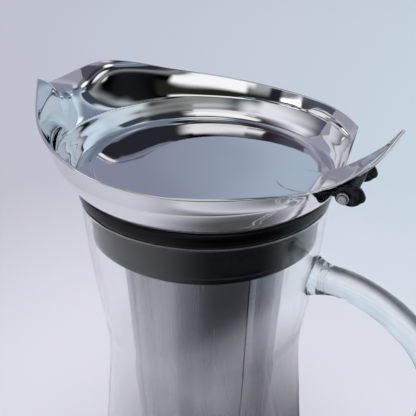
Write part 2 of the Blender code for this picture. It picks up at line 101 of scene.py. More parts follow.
def add(tree, kind, settings=None, links=None, to=None, stops=()):
    """Add a shader node of a kind. `settings` are its properties and its sockets' values, and `links`
    are what feeds its sockets: an output, or a node for its first output. `stops` are the places
    and colours of a colour ramp. `to` is the (node, socket) that its first output feeds."""
    node = tree.nodes.new("ShaderNode" + kind)
    for key, value in (settings or {}).items():
        if isinstance(key, str) and hasattr(node, key):
            setattr(node, key, value)
        else:
            node.inputs[key].default_value = value
    for key, source in (links or {}).items():
        tree.links.new(source.outputs[0] if hasattr(source, "outputs") else source, node.inputs[key])
    for _ in stops[2:]:
        node.color_ramp.elements.new(0.5)
    for k, (place, colour) in enumerate(stops):
        node.color_ramp.interpolation = "EASE"
        node.color_ramp.elements[k].position = place
        node.color_ramp.elements[k].color = colour
    if to is not None:
        tree.links.new(node.outputs[0], to[0].inputs[to[1]])
    return node


def fading(start, end, depth=1.0):
    """Settings of a Map Range that falls smoothly from `depth` at `start` to 0 at `end`."""
    ends = {"From Min": start, "From Max": end, "To Min": depth, "To Max": 0.0}
    return {"interpolation_type": "SMOOTHSTEP", **ends}


def left_to_right(tree, heading):
    """Colour that turns evenly from the left one to the right one with a heading's share of the
    picture's level direction."""
    side = add(tree, "VectorMath", {"operation": "DOT_PRODUCT", 1: tuple(level)}, {0: heading})
    side = add(tree, "MapRange", {"From Min": -1.0, "From Max": 1.0}, {"Value": side.outputs["Value"]})
    ends = {"data_type": "RGBA", 6: linear(table_left), 7: linear(table_right)}
    return add(tree, "Mix", ends, {0: side}).outputs[2]


table_mesh = bpy.data.meshes.new("table_top")
corners = [(x * table_half, y * table_half, 0.0) for x, y in ((-1, -1), (1, -1), (1, 1), (-1, 1))]
table_mesh.from_pydata(corners, [], [(0, 1, 2, 3)])
table = bpy.data.objects.new("table_top", table_mesh)
bpy.context.scene.collection.objects.link(table)

# Matt laminate: high-pressure sheet with a dull, even face. Its colour turns from the left one to the right
# one with the heading from the pitcher, the darker left being painted shade, and is lighter near it, a
# painted pool of light.
laminate, tree, shader = new_material("matt_laminate", {"Roughness": 0.9, "Specular IOR Level": 0.2})
place = add(tree, "TexCoord").outputs["Object"]
heading = add(tree, "VectorMath", {"operation": "NORMALIZE"}, {0: place})
away = add(tree, "VectorMath", {"operation": "LENGTH"}, {0: place}).outputs["Value"]
nearness = add(tree, "MapRange", fading(near_radius, far_radius), {"Value": away})
far_colour = left_to_right(tree, heading)
near_mix = {"data_type": "RGBA", 7: linear(painted_light_near)}
table_colour = add(tree, "Mix", near_mix, {0: nearness, 6: far_colour}).outputs[2]
darkness = []
for middle, reach, soft, depth in (painted_pitcher_shadow, painted_camera_side_shade, gap):
    away = add(tree, "VectorMath", {"operation": "DISTANCE", 1: middle}, {0: place}).outputs["Value"]
    darkness.append(add(tree, "MapRange", fading(reach - soft, reach + soft, depth), {"Value": away}))
in_pitcher_shadow, in_camera_side_shade, in_gap = darkness
dark = add(tree, "Math", {"operation": "SUBTRACT", "use_clamp": True}, {0: in_camera_side_shade, 1: in_gap})
dark = add(tree, "Math", {"operation": "MAXIMUM"}, {0: dark, 1: in_pitcher_shadow})
# Only mirror rays see the painted shadow of the pitcher and the painted shade below the camera.
mirrored = add(tree, "LightPath").outputs["Is Glossy Ray"]
dark = add(tree, "Math", {"operation": "MULTIPLY"}, {0: dark, 1: mirrored})
dark_mix = {"data_type": "RGBA", 7: linear(painted_shade_colour)}
table_colour = add(tree, "Mix", dark_mix, {0: dark, 6: table_colour}).outputs[2]
tree.links.new(table_colour, shader.inputs["Base Color"])
table_mesh.materials.append(laminate)

# ---------------------------------------------------------------- studio light
# A small studio, which shows in the polished steel: walls, soft boxes and black flags round the
# camera, and a large soft box overhead. The camera itself, and what is seen low down through the
# glass, has the plain pale wall behind the table.
studio_level = 1.28
# Degrees round from +X, and the colour of the wall there.
walls = (
    (-165, "#4B4B58"), (-135, "#29222C"), (-105, "#545A5C"), (-60, "#384244"), (-10, "#16181C"),
    (3, "#C4CED5"), (30, "#BECCD5"), (60, "#748396"), (90, "#707C8D"), (115, "#000000"),
    (135, "#D0CFD6"), (160, "#9291A1"),
)
# Each box or flag: the middle and half of its width in degrees round from +X, the middle and half
# of its height in degrees up, how soft its edge is in degrees, its colour and its strength. A
# height below zero leaves only a faint trace of the soft edge.
boxes = (
    ("far wall", 124, 23, 21.2, 24.3, 5.0, "#7E8396", 1),
    ("far blue wall", 104, 13, 16.9, 22.3, 10.1, "#9EADBD", 1),
    ("left soft box", -136, 40, 30.1, 10.3, 9.1, "#DDDEE3", 1),
    ("right flag", -43, 25, 35.4, 35.5, 7.9, "#000000", 1),
    ("front flag", -64, 49, 26.0, 3.5, 5.3, "#000000", 1),
    ("front soft box", -63, 32, 10.2, 14.8, 2.5, "#F4F4F4", 1),
    ("low flag", -71, 47, 5.7, 5.5, 2.7, "#21211D", 1),
    ("slit", -98, 4, 20.8, 2.1, 2.5, "#FDFAFF", 1.1),
    ("grey card", -34, 49, 33.4, 5.4, 10.7, "#969896", 1),
    ("pale card", -76, 29, 47.1, 10.9, 2.5, "#DDDEDE", 1),
    ("pale strip", -65, 52, 44.0, 2.1, 2.5, "#D9D8D8", 1),
    ("white strip", -75, 52, 52.2, 3.5, 2.5, "#F0F0EF", 1),
    ("upper flag", -12, 26, 54.4, 18.5, 8.9, "#26292F", 1),
    ("upper line", -60, 62, 67.9, -1.6, 2.5, "#282D2B", 1),
    ("upper strip", -66, 41, 75.4, 0.5, 2.5, "#BBB7B1", 1),
    ("right grey", 21, 22, 71.0, 13.8, 2.5, "#757B88", 1),
    ("right slot", 22, 16, 40.3, 7.1, 2.5, "#384049", 1),
    ("left lamp", -134, 13, 9.5, 4.4, 2.5, "#FBFAFF", 2.2),
    ("left flag", -122, 6, 12.7, 7.8, 2.5, "#201F22", 1),
    ("far lamp", 85, 4, 24.6, 11.5, 2.5, "#ECFDFF", 1.1),
    ("far panel", 111, 18, 48.3, 4.9, 8.2, "#5F7384", 1),
    ("right soft box", 63, 22, 20.2, 9.9, 8.9, "#C2D4DF", 1),
    ("ceiling", 150, 37, 72.6, 12.1, 5.4, "#686C74", 1),
)
# The overhead box, in degrees from straight up, and the heights that glass shows the wall to.
overhead_start, overhead_end, overhead_strength = 7.0, 15.0, 1.3
glass_start, glass_end = 8.0, 16.0

world = bpy.data.worlds.new("studio")
bpy.context.scene.world = world
world.use_nodes = True
tree = world.node_tree
direction = add(tree, "TexCoord").outputs["Generated"]
axes = add(tree, "SeparateXYZ", links={0: direction}).outputs
turn = add(tree, "Math", {"operation": "ARCTAN2"}, {0: axes["Y"], 1: axes["X"]})
turn = add(tree, "Math", {"operation": "DEGREES"}, {0: turn})
height = add(tree, "Math", {"operation": "ARCSINE"}, {0: axes["Z"]})
height = add(tree, "Math", {"operation": "DEGREES"}, {0: height})
share = add(tree, "MapRange", {"From Min": -180.0, "From Max": 180.0}, {"Value": turn})
light = add(tree, "ValToRGB", links={"Fac": share}, stops=[
    ((at + 180.0) / 360.0, tuple(studio_level * c for c in linear(colour)[:3]) + (1.0,))
    for at, colour in walls
])
for name, middle, half_width, up, half_height, edge, colour, strength in boxes:
    shares = []
    for angle, centre, half in ((turn, middle, half_width), (height, up, half_height)):
        away = add(tree, "Math", {"operation": "SUBTRACT", 1: centre}, {0: angle})
        away = add(tree, "Math", {"operation": "WRAP", 1: 180.0, 2: -180.0}, {0: away})
        away = add(tree, "Math", {"operation": "ABSOLUTE"}, {0: away})
        shares.append(add(tree, "MapRange", fading(half - edge, half + edge), {"Value": away}))
    inside = add(tree, "Math", {"operation": "MULTIPLY"}, {0: shares[0], 1: shares[1]})
    box = tuple(studio_level * strength * c for c in linear(colour)[:3]) + (1.0,)
    light = add(
        tree, "Mix", {"data_type": "RGBA", "label": name, 7: box}, {0: inside, 6: light},
    ).outputs[2]
from_top = add(tree, "Math", {"operation": "SUBTRACT", 0: 90.0}, {1: height})
overhead = add(tree, "MapRange", fading(overhead_start, overhead_end), {"Value": from_top})
light = add(
    tree, "Mix", {"data_type": "RGBA", "label": "overhead box", 7: (overhead_strength,) * 3 + (1.0,)},
    {0: overhead, 6: light},
).outputs[2]
plain = left_to_right(tree, direction)
light_path = add(tree, "LightPath").outputs
low = add(tree, "MapRange", fading(glass_start, glass_end), {"Value": height})
through_glass = add(
    tree, "Math", {"operation": "MULTIPLY"}, {0: light_path["Is Transmission Ray"], 1: low},
)
seen = add(tree, "Math", {"operation": "MAXIMUM"}, {0: light_path["Is Camera Ray"], 1: through_glass})
light = add(tree, "Mix", {"data_type": "RGBA"}, {0: seen, 6: light, 7: plain}).outputs[2]
tree.links.new(light, tree.nodes["Background"].inputs["Color"])

# The fill lamp: a wide soft box high over the pitcher, kept out of the mirrors.
fill_size, fill_height, fill_watts = 18.0, 20.0, 2700.0
fill = bpy.data.lights.new("fill", "AREA")
fill.shape = "DISK"
fill.size = fill_size
fill.energy = fill_watts
fill_lamp = bpy.data.objects.new("fill", fill)
fill_lamp.location = (0.0, 0.0, fill_height)
fill_lamp.visible_glossy = False
fill_lamp.visible_transmission = False
fill_lamp.visible_camera = False
bpy.context.scene.collection.objects.link(fill_lamp)

bpy.context.scene.view_settings.view_transform = "Standard"

# ---------------------------------------------------------------- glass carafe
# Blown borosilicate vessel with a thick base, a slight waist under the mouth and a fire-polished
# rim. One closed skin: inside from the centre up, over the rim, and down the outside.
mouth_height = 0.232
mouth_radius = 0.0447
glass_wall = 0.002
base_thickness = 0.0045
heel_radius = 0.004
carafe_rows, carafe_columns = 150, 192
carafe_heights = (
    0.000, 0.006, 0.022, 0.055, 0.120, 0.215, 0.320, 0.430, 0.540, 0.620, 0.680, 0.725, 0.770,
    0.820, 0.870, 0.920, 0.992,
)
carafe_radii = (
    1.020, 1.090, 1.155, 1.215, 1.244, 1.232, 1.190, 1.110, 1.035, 0.980, 0.952, 0.949, 0.965,
    0.981, 0.993, 1.000, 1.000,
)
glass_tint, glass_ior = "#FDFEFE", 1.474
shadow_tint = (0.97, 0.98, 0.98, 1.0)


def through(knots, values, at):
    """Smooth curve through (knots, values) at the places `at`: a cubic in each span, whose slopes
    at the knots are those of the chord between the two neighbours. Values may be rows."""
    knots, values, at = (np.asarray(a, float) for a in (knots, values, at))
    wide = knots.reshape(knots.shape + (1,) * (values.ndim - 1))
    slopes = np.empty_like(values)
    slopes[1:-1] = (values[2:] - values[:-2]) / (wide[2:] - wide[:-2])
    slopes[0] = (values[1] - values[0]) / (wide[1] - wide[0])
    slopes[-1] = (values[-1] - values[-2]) / (wide[-1] - wide[-2])
    i = np.clip(np.searchsorted(knots, at, side="right") - 1, 0, len(knots) - 2)
    span = wide[i + 1] - wide[i]
    t = (at.reshape(at.shape + (1,) * (values.ndim - 1)) - wide[i]) / span
    rise = values[i + 1] - values[i]
    a = slopes[i] * span - rise
    b = rise - slopes[i + 1] * span
    return values[i] + rise * t + t * (1.0 - t) * (a * (1.0 - t) + b * t)


def rounded(corners, radii, steps=8):
    """Outline through corner points, each corner turned by an arc of its radius: the arc starts
    and ends radius * tan(half the turn) from the corner. A radius of 0 keeps the corner."""
    corners = np.asarray(corners, float)
    out = []
    for k, (corner, radius) in enumerate(zip(corners, radii)):
        if radius <= 0.0 or k in (0, len(corners) - 1):
            out.append(corner[None])
            continue
        back = corners[k - 1] - corner
        on = corners[k + 1] - corner
        reach_back, reach_on = np.linalg.norm(back), np.linalg.norm(on)
        back, on = back / reach_back, on / reach_on
        half = np.arccos(np.clip(-back @ on, -1.0, 1.0)) / 2.0
        reach = min(radius * np.tan(half), 0.49 * reach_back, 0.49 * reach_on)
        t = np.linspace(0.0, 1.0, steps)[:, None]
        sharp = np.cos(half)
        weight = (1 - t) ** 2 + 2 * t * (1 - t) * sharp + t ** 2
        arc = (1 - t) ** 2 * (corner + back * reach) + 2 * t * (1 - t) * sharp * corner
        out.append((arc + t ** 2 * (corner + on * reach)) / weight)
    return np.concatenate(out)


def turned(outline, steps, loop=True):
    """Grid of an outline of (radius, height) carried round the Z axis: x = r cos a, y = r sin a.
    `loop` closes the outline on itself. Returned as skin takes it."""
    turn = np.linspace(0.0, 2.0 * np.pi, steps, endpoint=False)
    r, z = outline[:, :1], outline[:, 1:]
    return np.stack([r * np.cos(turn), r * np.sin(turn), z + 0.0 * turn], axis=2), loop, True, False


def grid_faces(rows, columns, along, around):
    """Quads of a rows x columns grid. `along` joins the last row to the first, `around` the last
    column to the first."""
    r = np.arange(rows if along else rows - 1)
    c = np.arange(columns if around else columns - 1)
    r, c = np.meshgrid(r, c, indexing="ij")
    n, m = (r + 1) % rows, (c + 1) % columns
    quads = np.stack([r * columns + c, n * columns + c, n * columns + m, r * columns + m], axis=-1)
    return quads.reshape(-1, 4)


def skin(name, grids, body, nodes, material, sharp=35.0):
    """A closed piece from grids of points, each (points, along, around, capped). Faces are turned
    outward by the sign of the volume that each grid shuts in, `capped` closes the first and last
    row by a flat face, and doubled points at poles are merged."""
    points, faces, first = [], [], 0
    for grid, along, around, capped in grids:
        rows, columns = grid.shape[:2]
        quads = grid_faces(rows, columns, along, around)
        flat = grid.reshape(-1, 3)
        a, b, c, d = (flat[quads[:, k]] - flat.mean(0) for k in range(4))
        outward = 1 if np.sum(a * np.cross(b, c)) + np.sum(a * np.cross(c, d)) > 0 else -1
        faces += (first + quads[:, ::outward]).tolist()
        if capped:
            ring = first + np.arange(columns)
            faces += [ring[::outward].tolist(), (ring + columns * (rows - 1))[::-outward].tolist()]
        points.append(flat)
        first += len(flat)
    mesh = bpy.data.meshes.new(name)
    mesh.from_pydata(np.concatenate(points), [], faces)
    shape = bmesh.new()
    shape.from_mesh(mesh)
    bmesh.ops.remove_doubles(shape, verts=shape.verts, dist=1e-7)
    bmesh.ops.dissolve_degenerate(shape, edges=shape.edges, dist=1e-8)
    shape.to_mesh(mesh)
    shape.free()
    mesh.shade_smooth()
    mesh.set_sharp_from_angle(angle=math.radians(sharp))
    mesh.materials.append(material)
    piece = bpy.data.objects.new(name, mesh)
    bpy.context.scene.collection.objects.link(piece)
    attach(piece, body)
    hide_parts(*nodes)
    return piece


def carafe_outside(share):
    """Outer radius and height of the wall, share 0 at the base to 1 under the rim: the curve
    through the carafe's radii and heights, run by its own length."""
    r = mouth_radius * np.array(carafe_radii)
    z = mouth_height * np.array(carafe_heights)
    run = np.concatenate([[0.0], np.cumsum(np.hypot(np.diff(r), np.diff(z)))])
    at = run[-1] * share
    return through(run, r, at), through(run, z, at)


outer_r, outer_z = carafe_outside(np.linspace(0.0, 1.0, carafe_rows))
above_heel = outer_z > base_thickness + heel_radius
inner_r, inner_z = outer_r[above_heel] - glass_wall, outer_z[above_heel]
# The floor runs into the wall by a small round, drawn with two points between its ends.
floor_line = np.array([
    (0.0, base_thickness), (inner_r[0] - heel_radius, base_thickness),
    (inner_r[0] - 0.5 * heel_radius, base_thickness + 0.12 * heel_radius),
    (inner_r[0] - 0.12 * heel_radius, base_thickness + 0.5 * heel_radius),
])
rim_turn = np.linspace(0.0, np.pi, 9)
rim_round = glass_wall / 2.0
rim_line = np.stack([
    mouth_radius - rim_round - rim_round * np.cos(rim_turn),
    mouth_height - rim_round + rim_round * np.sin(rim_turn),
], axis=1)
carafe_line = np.concatenate([
    floor_line,
    np.stack([inner_r, inner_z], axis=1)[inner_z < mouth_height - rim_round],
    rim_line,
    np.stack([outer_r, outer_z], axis=1)[outer_z < mouth_height - rim_round][::-1],
    np.array([(0.0, 0.0)]),
])


def noise_on(tree, scale, detail):
    """Noise on the piece's own coordinates, in cells of 1/scale metres along each axis."""
    place = add(tree, "TexCoord").outputs["Object"]
    place = add(tree, "Mapping", {"Scale": scale}, {0: place})
    return add(tree, "TexNoise", {"Scale": 1.0, "Detail": detail}, {"Vector": place})


# Borosilicate glass: clear and fire-polished. The wall has faint waves from blowing, about 17 mm
# apart round it and 110 mm long, which bend what is seen through it. Light for the table and for
# shadows passes straight through.
glass, tree, shader = new_material("borosilicate_glass", {
    "Base Color": linear(glass_tint), "Transmission Weight": 1.0, "IOR": glass_ior, "Roughness": 0.0,
})
waves = noise_on(tree, (60.0, 60.0, 9.0), 1.0)
add(tree, "Bump", {"Strength": 0.3, "Distance": 0.0001}, {"Height": waves}, (shader, "Normal"))
light_path = add(tree, "LightPath").outputs
passing = add(
    tree, "Math", {"operation": "MAXIMUM"},
    {0: light_path["Is Shadow Ray"], 1: light_path["Is Diffuse Ray"]},
)
clear = add(tree, "BsdfTransparent", {"Color": shadow_tint})
add(
    tree, "MixShader", links={0: passing, 1: shader, 2: clear},
    to=(tree.nodes["Material Output"], "Surface"),
)

skin(
    "carafe", [turned(carafe_line, carafe_columns, False)],
    "glass", ["glass_carafe"], glass,
)

# ---------------------------------------------------------------- glass handle
# Solid borosilicate rod, bent in a flame into a ring handle and fused to the carafe by two
# flared feet.
rod_radius = 0.0052
handle_top = mouth_height - 0.0281
handle_reach = 0.0522
handle_drop = 0.1069
foot_flare, foot_length = 0.45, 1.6 * rod_radius
handle_out = (
    0.000, 0.060, 0.125, 0.205, 0.300, 0.385, 0.460, 0.565, 0.655, 0.765, 0.855, 0.920, 0.973,
    1.000, 0.998, 0.985, 0.945, 0.865, 0.750, 0.620, 0.480, 0.340, 0.220, 0.120,
)
handle_down = (
    0.000, 0.000, -0.002, -0.006, -0.002, 0.008, 0.021, 0.046, 0.076, 0.121, 0.177, 0.237, 0.328,
    0.430, 0.514, 0.607, 0.700, 0.785, 0.850, 0.900, 0.938, 0.970, 0.995, 1.014,
)
weld_gap = 0.0003


def carafe_radius(z):
    """Outer radius of the carafe at a height."""
    return np.interp(z, outer_z, outer_r)


def handle_skin(rows=220, columns=48):
    """Rod along a smooth path in the plane y = 0. Its radius is r (1 + flare f^2), where f falls
    from 1 at the wall to 0 one foot length on. The end rows are moved along X on to the wall."""
    x = mouth_radius - glass_wall + handle_reach * np.array(handle_out)
    z = handle_top - handle_drop * np.array(handle_down)
    run = np.concatenate([[0.0], np.cumsum(np.hypot(np.diff(x), np.diff(z)))])
    fine = np.linspace(0.0, run[-1], 4000)
    fx, fz = through(run, x, fine), through(run, z, fine)
    free = np.nonzero(fx > carafe_radius(fz) + weld_gap)[0]
    start, end = fine[free[0]], fine[free[-1]]
    s = start + (end - start) * (1 - np.cos(np.linspace(0.0, np.pi, rows))) / 2.0
    s = 0.5 * s + 0.5 * np.linspace(start, end, rows)
    px, pz = through(run, x, s), through(run, z, s)
    tx, tz = np.gradient(px), np.gradient(pz)
    length = np.hypot(tx, tz)
    tx, tz = tx / length, tz / length
    ends = np.minimum(s - start, end - s)
    flare = np.clip(1.0 - ends / foot_length, 0.0, 1.0)
    radius = rod_radius * (1.0 + foot_flare * flare ** 2)
    turn = np.linspace(0.0, 2.0 * np.pi, columns, endpoint=False)
    across = radius[:, None] * np.cos(turn)
    upright = radius[:, None] * np.sin(turn)
    out, up = px[:, None] - tz[:, None] * upright, pz[:, None] + tx[:, None] * upright
    points = np.stack([out, across, up], axis=2)
    wall = np.sqrt(np.maximum((carafe_radius(points[..., 2]) + weld_gap) ** 2 - points[..., 1] ** 2, 0.0))
    centre_wall = carafe_radius(pz) + weld_gap
    pull = (np.clip(1.0 - ends / (0.8 * foot_length), 0.0, 1.0) ** 1.5)[:, None]
    points[..., 0] += pull * (wall - centre_wall[:, None])
    points[..., 0] = np.maximum(points[..., 0], wall)

    def cap(ring):
        """Rings that close an end: they shrink to its middle and lie on the wall."""
        centre = ring.mean(0)
        shares = np.linspace(1.0, 0.0, 9)[1:, None, None]
        disc = centre + (ring - centre) * shares
        disc[..., 0] = np.sqrt((carafe_radius(disc[..., 2]) + weld_gap) ** 2 - disc[..., 1] ** 2)
        return disc

    return np.concatenate([cap(points[0])[::-1], points, cap(points[-1])])


skin("handle", [(handle_skin(), False, True, False)], "glass", ["glass_handle"], glass)

# ---------------------------------------------------------------- filter
# Tube rolled from finely etched stainless sheet and closed by a lapped seam, with a turned ring
# at its top that fits the lid, and a ring and a plate that close its bottom.
filter_radius, filter_wall, filter_edge = 0.0325, 0.0006, 0.00015
filter_bottom, filter_top = 0.032, 0.230
neck_ring_inner, neck_ring_outer, neck_ring_edge = filter_radius + 0.0003, 0.0373, 0.0004
neck_ring_bottom, neck_ring_top = 0.2188, 0.2303
foot_inner, foot_step, foot_outer = 0.0290, 0.0328, 0.0336
foot_bottom, foot_ledge, foot_middle, foot_top = 0.0309, 0.0317, 0.0350, 0.0380
plate_radius, plate_bottom, plate_top, plate_edge = 0.0316, 0.0330, 0.0338, 0.0002
ring_columns = 128
etched_dark, etched_light = "#A3A1A9", "#BCBAC0"
satin_colour = "#C6C6CA"


def textured(tree, shader, pattern, rough, bump, stops=()):
    """Let a pattern drive a surface: its roughness between two values, its relief by a bump's
    strength and depth in metres, and its colour where stops are given."""
    roughness = {"To Min": rough[0], "To Max": rough[1]}
    relief = {"Strength": bump[0], "Distance": bump[1]}
    add(tree, "MapRange", roughness, {"Value": pattern}, (shader, "Roughness"))
    add(tree, "Bump", relief, {"Height": pattern}, (shader, "Normal"))
    if stops:
        add(tree, "ValToRGB", links={"Fac": pattern}, to=(shader, "Base Color"), stops=stops)


# Etched stainless: satin, with the vertical grain of the rolled sheet and fine rows of holes that
# read as a tight vertical lay. The real pitch of 0.15 mm is drawn at 0.6 mm so that it shows. The
# broad bands, some 9 mm wide, are the faint flats left by rolling.
etched_steel, tree, shader = new_material("etched_stainless_steel", {"Metallic": 1.0})
grain = noise_on(tree, (1600.0, 1600.0, 25.0), 2.0)
textured(tree, shader, grain, rough=(0.22, 0.30), bump=(0.015, 0.00002))
add(
    tree, "ValToRGB", links={"Fac": noise_on(tree, (110.0, 110.0, 0.5), 1.0)}, to=(shader, "Base Color"),
    stops=[(0.38, linear(etched_dark)), (0.62, linear(etched_light))],
)


def ring_skin(inner, outer, low, high, edge, steps=ring_columns):
    """Ring of rectangular section with its edges turned by a small radius."""
    half_up = (inner, (low + high) / 2)
    box = [half_up, (inner, low), (outer, low), (outer, high), (inner, high), half_up]
    line = rounded(box, (0, edge, edge, edge, edge, 0), 4)[:-1]
    return turned(line, steps)


filter_inner = filter_radius - filter_wall
skin(
    "filter_sheet", [ring_skin(filter_inner, filter_radius, filter_bottom, filter_top, filter_edge, 192)],
    "filter", ["filter_tube"], etched_steel,
)

# Satin stainless: turned on a lathe, so its fine lines run round the axis, about 0.2 mm apart.
satin_steel, tree, shader = new_material(
    "satin_stainless_steel", {"Base Color": linear(satin_colour), "Metallic": 1.0},
)
lines = noise_on(tree, (60.0, 60.0, 5000.0), 2.0)
textured(tree, shader, lines, rough=(0.22, 0.36), bump=(0.2, 0.00002))

skin(
    "filter_neck_ring",
    [ring_skin(neck_ring_inner, neck_ring_outer, neck_ring_bottom, neck_ring_top, neck_ring_edge)],
    "filter", ["filter_top_ring"], satin_steel,
)
foot_line = rounded([
    (foot_outer, foot_middle), (foot_outer, foot_top), (foot_step, foot_top),
    (foot_step, foot_ledge), (foot_inner, foot_ledge), (foot_inner, foot_bottom),
    (foot_outer, foot_bottom), (foot_outer, foot_middle),
], (0, 0.0002, 0.0002, 0.0001, 0.0002, 0.0002, 0.0008, 0), 5)[:-1]
skin(
    "filter_foot_ring", [turned(foot_line, ring_columns)],
    "filter", ["filter_bottom_ring"], satin_steel,
)
plate_line = rounded([
    (0.0, plate_bottom), (plate_radius, plate_bottom), (plate_radius, plate_top), (0.0, plate_top),
], (0, plate_edge, plate_edge, 0), 4)
skin(
    "filter_end_plate", [turned(plate_line, ring_columns, False)],
    "filter", ["filter_bottom_plate"], etched_steel,
)

# Lapped seam: a narrow strip down the outside of the tube, spot-welded on the lap.
seam_angle = math.radians(-31.0)
seam_half, seam_edge = 0.0012, 0.0002
seam_low, seam_high = 0.0383, 0.2185
seam_inner, seam_outer = filter_radius + 0.0003, filter_radius + 0.0006


def seam_skin(rows=60):
    """Strip of flat section between two radii; rows run up it. Its long edges are eased."""
    z = np.linspace(seam_low, seam_high, rows)
    section = rounded([
        (seam_inner, 0.0), (seam_inner, -seam_half), (seam_outer, -seam_half), (seam_outer, seam_half),
        (seam_inner, seam_half), (seam_inner, 0.0),
    ], (0, 0, seam_edge, seam_edge, 0, 0), 5)[:-1]
    out, across = section[:, 0], section[:, 1]
    x = out * math.cos(seam_angle) - across * math.sin(seam_angle)
    y = out * math.sin(seam_angle) + across * math.cos(seam_angle)
    x, y, z = np.broadcast_arrays(x, y, z[:, None])
    return np.stack([x, y, z], axis=2)


skin(
    "filter_lap", [(seam_skin(), False, True, True)], "filter", ["filter_seam"], satin_steel,
)

# ---------------------------------------------------------------- sleeve and seal
# The sleeve is a short drawn-steel neck under the lid's floor; the seal is moulded from black
# silicone and stretched over it. Its flange lies on the glass and its ribs face the mouth.
lid_plane = mouth_height + 0.006
sleeve_inner, sleeve_outer, sleeve_flange = 0.0376, 0.0383, 0.0430
sleeve_bottom, sleeve_under, sleeve_top = lid_plane - 0.0195, lid_plane - 0.0015, lid_plane - 0.0008
sleeve_line = rounded([
    (sleeve_inner, sleeve_top), (sleeve_flange, sleeve_top), (sleeve_flange, sleeve_under),
    (sleeve_outer, sleeve_under), (sleeve_outer, sleeve_bottom), (sleeve_inner, sleeve_bottom),
    (sleeve_inner, sleeve_top),
], (0, 0.0002, 0.0002, 0.0003, 0.0003, 0.0003, 0), 5)[:-1]
seal_bottom = lid_plane - 0.0205
seal_plug, seal_bore = 0.0424, 0.0386
seal_flange = 0.0452
seal_recess, recess_floor = 0.0433, lid_plane - 0.0018
flange_low, flange_high = mouth_height + 0.0003, lid_plane - 0.0008
rib_inset, groove_count, groove_depth = 0.0002, 13, 0.00022
lip_height = 0.0026
lip_groove_depth, lip_groove_half = 0.0004, 0.0003
silicone_dark, silicone_dusty = "#020203", "#111114"
steel_colour = "#E6E6E8"


def seal_outline():
    """Plug, lip, bore and flange of the seal. The plug's grooves are a rounded wave down its
    height, r = plug - inset - depth * (1 - |cos|^0.5), and end above a plain lip with a deeper
    groove over it, whose depth is a bell curve of the height."""
    z = np.linspace(flange_low - rib_inset, seal_bottom + lip_height, 20 * groove_count + 1)
    share = np.linspace(0.0, 1.0, len(z))
    wave = groove_depth * (1.0 - np.abs(np.cos(np.pi * groove_count * share)) ** 0.5)
    over_lip = (z - seal_bottom - lip_height - lip_groove_depth) / lip_groove_half
    deep = lip_groove_depth * np.exp(-over_lip ** 2)
    plug = np.stack([seal_plug - rib_inset - wave - deep, z], axis=1)
    lip = rounded([
        plug[-1], (seal_plug, seal_bottom + lip_height - 0.0006), (seal_plug, seal_bottom),
        (seal_bore, seal_bottom), (seal_bore, recess_floor), (seal_recess, recess_floor),
        (seal_recess, flange_high), (seal_flange, flange_high), (seal_flange, flange_low),
        (seal_plug - rib_inset, flange_low), plug[0],
    ], (0, 0.0006, 0.0007, 0.0003, 0, 0, 0.0003, 0.0008, 0.0008, 0, 0), 7)
    return np.concatenate([plug, lip[1:-1]])


# Silicone rubber: moulded and glossy where the tool was polished, near black, IOR 1.41. It holds
# a little dust and shows fine lines left round it by the tool, 0.4 mm apart.
silicone, tree, shader = new_material("moulded_silicone", {"IOR": 1.41, "Specular IOR Level": 0.26})
lines = noise_on(tree, (25.0, 25.0, 2500.0), 3.0)
dusting = [(0.45, linear(silicone_dark)), (0.70, linear(silicone_dusty))]
textured(tree, shader, lines, rough=(0.08, 0.26), bump=(0.3, 0.00003), stops=dusting)

# Polished stainless steel: 18/8 sheet, pressed and buffed to a mirror. Buffing leaves hairlines a
# few hundredths of a millimetre wide, drawn 0.3 mm wide so that they show. Smears some 14 mm long
# make them stronger in places, and the press leaves faint waves about 11 mm long.
polished_steel, tree, shader = new_material(
    "mirror_polished_stainless_steel", {"Base Color": linear(steel_colour), "Metallic": 1.0},
)
hairs = noise_on(tree, (900.0, 900.0, 3500.0), 3.0)
smears = noise_on(tree, (70.0, 70.0, 70.0), 3.0)
press = noise_on(tree, (90.0, 90.0, 90.0), 1.0)
blend = add(tree, "Math", {"operation": "MULTIPLY"}, {0: hairs, 1: smears})
add(
    tree, "MapRange", {"From Min": 0.15, "From Max": 0.45, "To Min": 0.02, "To Max": 0.06},
    {"Value": blend}, (shader, "Roughness"),
)
add(tree, "Bump", {"Strength": 0.15, "Distance": 0.0001}, {"Height": press}, (shader, "Normal"))

skin(
    "lid_neck", [turned(sleeve_line, 160)], "lid", ["collar_sleeve"], polished_steel,
)
skin(
    "mouth_seal", [turned(seal_outline(), 192)], "lid", ["lid_seal"], silicone, 30.0,
)

# ---------------------------------------------------------------- pouring collar
# One stainless sheet, 0.9 mm thick, pressed into a bowl with a round floor, spun out at its rim
# and drawn into a pointed spout. Its back is cut off flat for the hinge.
sheet = 0.0009
bowl_radii = (0.0384, 0.0405, 0.0427, 0.0441, 0.0449, 0.0454, 0.0458, 0.0468, 0.0477, 0.0487, 0.0496)
bowl_rises = (0.0004, 0.0004, 0.0004, 0.0004, 0.0005, 0.0009, 0.0014, 0.0028, 0.0045, 0.0065, 0.0085)
bend_radius, bend_rise = bowl_radii[-1], bowl_rises[-1]
rim_radius, rim_rise = 0.0515, 0.0143
spout_reach, shoulder_rise = 0.0278, 0.0111
rim_angles = (0.0, 6.0, 12.0, 20.0, 30.0, 42.0, 58.0, 80.0, 110.0, 132.0, 150.0, 180.0)
rim_reach = (0.920, 0.718, 0.470, 0.272, 0.140, 0.069, 0.026, 0.008, 0.000, 0.004, 0.032, 0.060)
rim_lift = (0.230, 0.540, 0.900, 0.975, 0.823, 0.583, 0.376, 0.165, 0.025, 0.000, -0.100, -0.200)
spout_round, spout_round_power, lip_round = 12.6, 1.2, 2.0
spout_out, spout_rise, spout_fade = (-0.024, 0.005, -0.154), (-0.240, 0.004, 0.195), 34.9
flare_up = (0.0, 0.12, 0.36, 0.68, 1.0)
